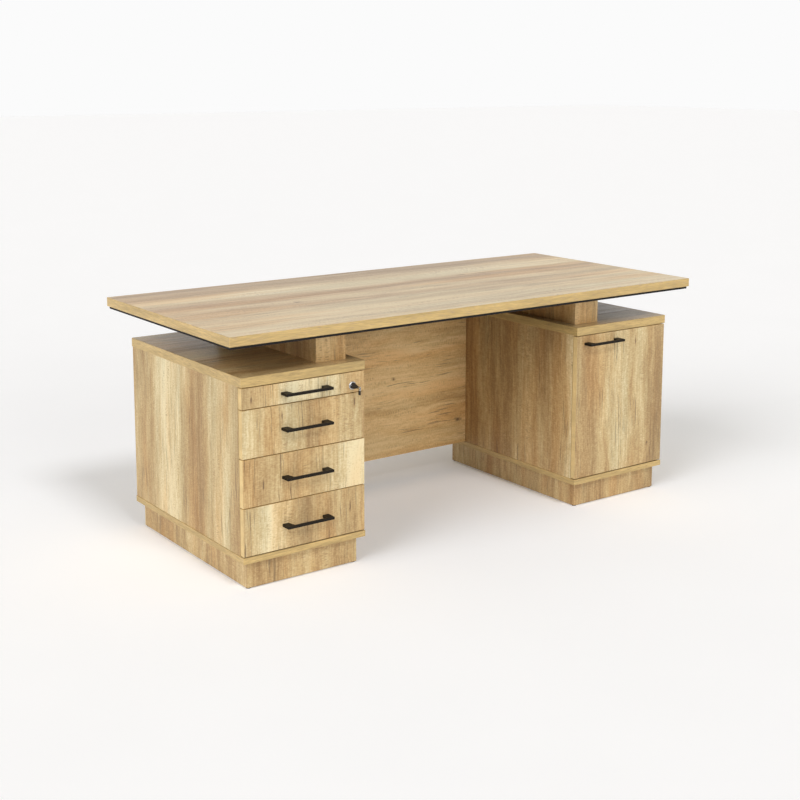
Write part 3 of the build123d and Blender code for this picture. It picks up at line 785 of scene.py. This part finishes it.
class DESK_OT_drawer_boxes(bpy.types.Operator):
    """Finish the drawer boxes, the runners and the other plated steel inside"""

    bl_idname = "desk.drawer_boxes"
    bl_label = "Drawer boxes and steel"

    def execute(self, context):
        hardware = context.scene.teacher_desk.hardware
        walls = pale_board("pale_board", hardware.walls, (30.0, 6.0, 260.0))
        bottom = pale_board("hardboard", hardware.bottoms, (120.0, 8.0, 120.0), 0.42)
        zinc = bright_metal("zinc_steel", hardware.zinc, 0.32, (900.0, 6.0, 900.0))
        lever = coated("lever_plastic", hardware.glides, 0.45, 1200.0, 0.03 * MM)
        for drawer in DRAWERS:
            dress(f"{drawer}_walls", walls)
            dress(f"{drawer}_bottom", bottom)
            dress(f"{drawer}_runners", zinc)
            dress(f"middle_runners_{drawer[-1]}", zinc)
            runner_screws(drawer, zinc, hardware)
            release_levers(drawer, lever, hardware)
        for node in ("cabinet_runners", "cam_fittings", "shelf_pins", "catch_plate", "lock_strike"):
            dress(node, zinc)
        door_pins(zinc, hardware.pin_clear)
        cam_faces(zinc)
        return {"FINISHED"}


MEMBER = 1.2 * MM  # steel of a runner's drawer member
SCREWS = (0.035, 0.165, 0.420)  # places from the member's front end
LEVER = 0.195  # where a release lever begins, from the same end


def runner_screws(drawer, material, sizes):
    """Pan heads that hold the drawer members of the runners to the box."""
    wall_low, wall_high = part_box(f"{drawer}_walls")
    low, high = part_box(f"{drawer}_runners")
    middle = (low.z + high.z) / 2
    shape = bmesh.new()
    for x, outward in ((wall_low.x, -1), (wall_high.x, 1)):
        for from_front in SCREWS:
            face = x + outward * MEMBER
            place = Vector((face, low.y + from_front, middle))
            screw_head(shape, place, X, outward, sizes.screw_radius, sizes.screw_rise)
    settle(closed_up(shape), f"{drawer}_runner_screws", drawer, "zinc_steel", material, smooth=35.0)


def release_levers(drawer, material, sizes):
    """The sprung plastic levers that free a drawer from its runners."""
    wall_low, wall_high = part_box(f"{drawer}_walls")
    low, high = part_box(f"{drawer}_runners")
    middle = (low.z + high.z) / 2
    shape = bmesh.new()
    for x, outward in ((wall_low.x, -1), (wall_high.x, 1)):
        face = x + outward * MEMBER
        near, far = sorted((face, face + outward * sizes.lever_thick))
        start = low.y + LEVER
        end = start + sizes.lever_length
        rounded_block(shape, (near, start, middle - 4 * MM), (far, end, middle + 4 * MM), 0.7 * MM)
        tab, lap = start - 16 * MM, start + 4 * MM
        rounded_block(shape, (near, tab, middle - 7 * MM), (far, lap, middle - 1 * MM), 0.9 * MM)
    settle(closed_up(shape), f"{drawer}_levers", drawer, "grey_plastic", material, smooth=35.0)


def door_pins(material, clear):
    """The door's two pivot pins, each with a collar that stands just clear of its bush."""
    door_low, door_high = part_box("door")
    bushes = sorted(islands("hinge_bushes"), key=lambda box: box[0].z)
    pins = sorted(islands("door_pivots"), key=lambda box: box[0].z)
    radius, chamfer = 2.0 * MM, 0.4 * MM
    shape = bmesh.new()
    for (low, high), (bush_low, bush_high), under in zip(pins, bushes, (True, False)):
        collar = (high.x - low.x) / 2
        start, end = (bush_high.z + clear, door_low.z) if under else (door_high.z, bush_low.z - clear)
        outline = [
            (0.0, low.z),
            (radius - chamfer, low.z),
            (radius, low.z + chamfer),
            (radius, start),
            (collar, start),
            (collar, end),
            (radius, end),
            (radius, high.z - chamfer),
            (radius - chamfer, high.z),
            (0.0, high.z),
        ]
        lathe(shape, outline, (low + high) / 2, Z, steps=32, closed=False)
    settle(closed_up(shape), "door_pins", "door", "zinc_steel", material, "door_pivots", smooth=35.0)


def cam_faces(material):
    """The cross-slotted faces of the cams that show in the cupboard. The slim bolts have none."""
    shape = bmesh.new()
    rise, slot, widest = 0.35 * MM, 0.8 * MM, 16 * MM
    shelf_middle = (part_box("shelf")[0].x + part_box("shelf")[1].x) / 2
    for low, high in islands("cam_fittings"):
        size = high - low
        middle = (low + high) / 2
        cam = size.x >= size.z * 0.7 and size.z <= widest
        if not cam or middle.x < 0:
            continue
        inward = -1 if middle.x > shelf_middle else 1
        face = high.x if inward > 0 else low.x
        radius = size.z / 2
        near, far = sorted((face, face + inward * rise))
        reach = radius * 0.62
        for side in (-1, 1):
            for end in (-1, 1):
                y0, y1 = sorted((middle.y + side * slot, middle.y + side * reach))
                z0, z1 = sorted((middle.z + end * slot, middle.z + end * reach))
                rounded_block(shape, (near, y0, z0), (far, y1, z1), 0.15 * MM, segments=2)
        rim = [(radius * 0.80, near), (radius * 0.94, near), (radius * 0.90, far), (radius * 0.84, far)]
        lathe(shape, rim, middle, X, steps=32)
    settle(closed_up(shape), "cam_faces", "root", "zinc_steel", material, smooth=35.0)


class DESK_OT_handles(bpy.types.Operator):
    """Finish the bar pulls"""

    bl_idname = "desk.handles"
    bl_label = "Handles"

    def execute(self, context):
        finish = context.scene.teacher_desk.handles
        black = coated("black_coat", finish.colour, finish.rough, 1400.0, 0.03 * MM, shine=finish.shine)
        for node in [f"{drawer}_handle" for drawer in DRAWERS] + ["door_handle"]:
            dress(node, black)
        return {"FINISHED"}


class DESK_OT_lock(bpy.types.Operator):
    """Turn the lock's rosette and barrel, mould the key and hang its head"""

    bl_idname = "desk.lock"
    bl_label = "Lock and key"

    def execute(self, context):
        hardware = context.scene.teacher_desk.hardware
        chrome = bright_metal("lock_chrome", hardware.chrome, 0.20, (300.0, 300.0, 300.0), 0.04)
        plastic = coated("key_plastic", hardware.key, 0.42, 1600.0, 0.03 * MM, shine=0.35)
        lock_rosette(chrome)
        for node in ("lock_plug", "lock_cam"):
            dress(node, chrome)
        key_bow(plastic)
        key_steel(chrome)
        key_flap(plastic, chrome)
        return {"FINISHED"}


def lock_rosette(material):
    """The round face of the lock, its threaded barrel and the nut behind the front."""
    low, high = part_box("lock_barrel")
    front_low, front_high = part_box("drawer_1_front")
    plug_low, plug_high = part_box("lock_plug")
    centre = (low + high) / 2
    face, back, end = front_low.y, front_high.y, high.y
    rim = (high.x - low.x) / 2
    bore = (plug_high.x - plug_low.x) / 2 + 0.05 * MM
    barrel, root, pitch = 8.0 * MM, 7.4 * MM, 1.25 * MM
    outline = [
        (bore, low.y + 0.4 * MM),
        (bore + 0.4 * MM, low.y),
        (rim * 0.64, low.y),
        (rim * 0.67, low.y + 0.5 * MM),
        (rim * 0.73, low.y + 0.5 * MM),
        (rim * 0.76, low.y + 0.05 * MM),
        (rim * 0.88, low.y + 0.2 * MM),
        (rim * 0.95, low.y + 0.7 * MM),
        (rim, low.y + 1.5 * MM),
        (rim, face),
        (barrel, face),
    ]
    along = face + pitch
    while along < end - pitch:
        outline += [(barrel, along), (root, along + pitch / 2)]
        along += pitch
    outline += [(barrel, end - 0.3 * MM), (barrel - 0.3 * MM, end), (bore, end)]
    shape = bmesh.new()
    lathe(shape, outline, centre)
    nut, nut_end = 9.5 * MM, back + 2.5 * MM
    lathe(shape, [(root, back), (nut, back), (nut, nut_end), (root, nut_end)], centre, steps=6)
    settle(closed_up(shape), "lock_rosette", "drawer_1", "lock_chrome", material, "lock_barrel", smooth=35.0)


# The key's bow, from the lock to its tip: shares of its greatest radius, and of its length.
BOW = (
    (0.0, 0.0),
    (0.90, 0.0),
    (1.0, 0.03),
    (1.0, 0.09),
    (0.93, 0.11),
    (0.93, 0.14),
    (0.97, 0.16),
    (0.93, 0.21),
    (0.84, 0.24),
    (0.84, 0.27),
    (0.86, 0.29),
    (0.72, 0.44),
    (0.60, 0.58),
    (0.49, 0.74),
    (0.41, 0.88),
    (0.36, 0.95),
    (0.26, 1.0),
    (0.0, 1.0),
)
BOW_LAP = 0.4 * MM  # from the bow's tip to the key's head
EYE, EYE_HALF, PIN = 3.0 * MM, 1.2 * MM, 1.0 * MM
BLADE_HALF, BLADE_REACH = 1.0 * MM, 3.9 * MM
FORK_HALF, FORK_CHEEK, FORK_RISE, FORK_DROP = 3.0 * MM, 0.85 * MM, 3.4 * MM, 8.0 * MM


def key_bow(material):
    """The moulded bow of the key: broad at the lock and drawn in to the eye, with two grip rings."""
    low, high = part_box("key")
    plug_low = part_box("lock_plug")[0]
    centre = Vector(((low.x + high.x) / 2, 0.0, (low.z + high.z) / 2))
    root = (high.x - low.x) / 2
    start = plug_low.y - 0.1 * MM
    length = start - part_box("key_head")[1].y - BOW_LAP
    shape = bmesh.new()
    lathe(shape, [(root * r, start - length * along) for r, along in BOW], centre, closed=False)
    settle(closed_up(shape), "key_bow", "lock", "black_plastic", material, "key", smooth=40.0)


def key_steel(material):
    """The blade in the plug, the eye at the key's tip and the pin through it."""
    low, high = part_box("key")
    head_low, head_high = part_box("key_head")
    plug_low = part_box("lock_plug")[0]
    x, z = (low.x + high.x) / 2, (low.z + high.z) / 2
    eye_y = (head_low.y + head_high.y) / 2
    tip = head_high.y + BOW_LAP
    shape = bmesh.new()
    blade_low = (x - BLADE_HALF, plug_low.y, z - BLADE_REACH)
    rounded_block(shape, blade_low, (x + BLADE_HALF, high.y, z + BLADE_REACH), 0.2 * MM)
    neck_low = (x - EYE_HALF, eye_y + 0.8 * EYE, z - EYE / 2)
    rounded_block(shape, neck_low, (x + EYE_HALF, tip + 1.0 * MM, z + EYE / 2), 0.3 * MM)
    eye_centre = Vector((x, eye_y, z))
    flat, rim = EYE - 0.5 * MM, 0.6 * EYE_HALF
    ring = [(PIN, -EYE_HALF), (flat, -EYE_HALF), (EYE, -rim), (EYE, rim), (flat, EYE_HALF), (PIN, EYE_HALF)]
    lathe(shape, [(r, x + along) for r, along in ring], eye_centre, X, steps=32)
    end = (head_high.x - head_low.x) / 2
    step = end - 0.3 * MM
    rod = [(0.0, -end), (0.7 * PIN, -end), (PIN, -step), (PIN, step), (0.7 * PIN, end), (0.0, end)]
    lathe(shape, [(r, x + along) for r, along in rod], eye_centre, X, steps=20, closed=False)
    settle(closed_up(shape), "key_steel", "lock", "lock_chrome", material, smooth=35.0)


def key_flap(plastic, steel):
    """The head of the folding key: a steel fork on the pin, and the black flap that hangs in it."""
    low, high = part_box("key_head")
    plug_low, plug_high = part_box("lock_plug")
    lock_z = (plug_low.z + plug_high.z) / 2
    y = (low.y + high.y) / 2
    front, back = y - FORK_HALF, y + FORK_HALF
    bottom, top = lock_z - FORK_DROP, lock_z + FORK_RISE
    fork = bmesh.new()
    for near, far in ((low.x, low.x + FORK_CHEEK), (high.x - FORK_CHEEK, high.x)):
        rounded_block(fork, (near, front, bottom), (far, back, top), 2.6 * MM, axis=X, segments=6)
    rounded_block(fork, (low.x, front, bottom), (high.x, back, lock_z - 3.6 * MM), 0.4 * MM)
    settle(closed_up(fork), "key_fork", "key_head", "lock_chrome", steel, smooth=35.0)
    flap = bmesh.new()
    rounded_block(flap, (low.x, low.y, low.z), (high.x, high.y, bottom), 1.6 * MM, segments=4)
    settle(closed_up(flap), "key_flap", "key_head", "black_plastic", plastic, "key_head", smooth=35.0)


class DESK_OT_small_parts(bpy.types.Operator):
    """Finish the glides, the hinge bushes and the magnet catch"""

    bl_idname = "desk.small_parts"
    bl_label = "Small parts"

    def execute(self, context):
        hardware = context.scene.teacher_desk.hardware
        grey = coated("grey_plastic", hardware.bushes, 0.45, 1200.0, 0.03 * MM)
        black = coated("glide_plastic", hardware.glides, 0.5, 1200.0, 0.04 * MM)
        dress("glides", black)
        for node in ("hinge_bushes", "magnet_catch"):
            dress(node, grey)
        return {"FINISHED"}


class DESK_OT_stage(bpy.types.Operator):
    """Lay the pale floor and set the studio light and the camera"""

    bl_idname = "desk.stage"
    bl_label = "Stage"

    def execute(self, context):
        scene = context.scene
        stage = scene.teacher_desk.stage
        lay_floor()
        light_studio(stage)
        place_camera(scene, stage)
        scene.view_settings.view_transform = "Standard"
        scene.view_settings.look = "None"
        return {"FINISHED"}


def lay_floor(half=40.0, glow=0.06):
    """A wide white floor. A little glow keeps it as pale as the backdrop."""
    shape = bmesh.new()
    bmesh.ops.create_grid(shape, x_segments=1, y_segments=1, size=half)
    mesh = bpy.data.meshes.new("floor")
    shape.to_mesh(mesh)
    shape.free()
    floor = bpy.data.objects.new("floor", mesh)
    bpy.context.scene.collection.objects.link(floor)
    material, g, shader = new_material("floor_white")
    cloud = g.noise(object_place(g), (2.0,) * 3, 2.0)
    shade = g.span(cloud, 0.3, 0.7, 0.985, 0.995)
    g.tree.links.new(g.grey(shade), shader.inputs["Base Color"])
    shader.inputs["Roughness"].default_value = 0.9
    shader.inputs["Specular IOR Level"].default_value = 0.1
    shader.inputs["Emission Color"].default_value = (1.0, 1.0, 1.0, 1.0)
    shader.inputs["Emission Strength"].default_value = glow
    mesh.materials.append(material)


def soft_sun(name, heading, height, spread, strength, tint):
    """Parallel light. The heading is measured from straight ahead of the drawers, towards the left."""
    light = bpy.data.lights.new(name, "SUN")
    light.energy = strength
    light.angle = math.radians(spread)
    light.color = tint
    lamp = bpy.data.objects.new(name, light)
    bpy.context.scene.collection.objects.link(lamp)
    level = math.cos(math.radians(height))
    turn = math.radians(heading)
    source = Vector((-math.sin(turn) * level, -math.cos(turn) * level, math.sin(math.radians(height))))
    lamp.rotation_euler = (-source).to_track_quat("-Z", "Y").to_euler()


# Each light's heading, height and width in degrees, the setting that gives its strength, and its colour.
SUNS = (
    ("front_light", 2.0, 48.0, 14.0, "front", (0.97, 0.99, 1.04)),
    ("low_light", -4.0, 13.0, 32.0, "low", (0.98, 0.98, 0.97)),
    ("left_light", 76.0, 28.0, 40.0, "left", (0.98, 0.99, 1.03)),
)
SKY_COLOUR = (1.0, 0.95, 0.86)
WHITE = (1.0, 1.0, 1.0)


def light_studio(stage):
    for name, heading, height, spread, power, tint in SUNS:
        soft_sun(name, heading, height, spread, getattr(stage, power), tint)
    world = bpy.data.worlds.new("studio")
    bpy.context.scene.world = world
    world.use_nodes = True
    g = Graph(world.node_tree)
    background = world.node_tree.nodes["Background"]
    ray = g.add("ShaderNodeLightPath").node
    mirrored = g.math("MULTIPLY", ray.outputs["Is Glossy Ray"], 0.9)
    seen = g.math("MAXIMUM", ray.outputs["Is Camera Ray"], mirrored)
    strength = g.add("ShaderNodeMapRange", {0: seen, 1: 0.0, 2: 1.0, 3: stage.sky, 4: stage.backdrop})
    g.tree.links.new(g.mix(seen, SKY_COLOUR, WHITE), background.inputs[0])
    g.tree.links.new(strength, background.inputs[1])


def place_camera(scene, stage):
    data = bpy.data.cameras.new("camera")
    data.lens = stage.lens
    data.shift_x = stage.shift_x
    data.shift_y = stage.shift_y
    camera = bpy.data.objects.new("camera", data)
    scene.collection.objects.link(camera)
    camera.location = stage.place
    camera.rotation_euler = (math.radians(90) - stage.tilt, 0.0, -stage.turn)
    scene.camera = camera


class DESK_PT_panel(bpy.types.Panel):
    """Buttons for every piece of the desk"""

    bl_label = "Teacher Desk"
    bl_space_type = "VIEW_3D"
    bl_region_type = "UI"
    bl_category = "Teacher Desk"

    def draw(self, context):
        for operator in OPERATORS:
            self.layout.operator(operator.bl_idname)


OPERATORS = (
    DESK_OT_desktop,
    DESK_OT_carcasses,
    DESK_OT_fronts,
    DESK_OT_drawer_boxes,
    DESK_OT_handles,
    DESK_OT_lock,
    DESK_OT_small_parts,
    DESK_OT_stage,
)
SETTINGS = (OakSettings, HandleSettings, HardwareSettings, StageSettings, DeskSettings)
CLASSES = (*SETTINGS, *OPERATORS, DESK_PT_panel)


def register():
    for item in CLASSES:
        bpy.utils.register_class(item)
    bpy.types.Scene.teacher_desk = PointerProperty(type=DeskSettings)


def unregister():
    del bpy.types.Scene.teacher_desk
    for item in reversed(CLASSES):
        bpy.utils.unregister_class(item)


# The desktop's decor is paler and calmer than that of the rest.
TOP_DECOR = {
    "pale": (0.83, 0.71, 0.49),
    "honey": (0.69, 0.55, 0.35),
    "tan": (0.55, 0.40, 0.255),
    "brown": (0.36, 0.25, 0.17),
    "check": (0.20, 0.14, 0.10),
    "banding": (0.545, 0.38, 0.148),
    "stretch": 1.9,
    "cloudy": 1.0,
    "streaky": 0.85,
    "rippled": 0.4,
}


def main():
    register()
    for setting, value in TOP_DECOR.items():
        setattr(bpy.context.scene.teacher_desk.top, setting, value)
    for operator in OPERATORS:
        group, name = operator.bl_idname.split(".")
        getattr(getattr(bpy.ops, group), name)()


if __name__ == "__main__":
    main()
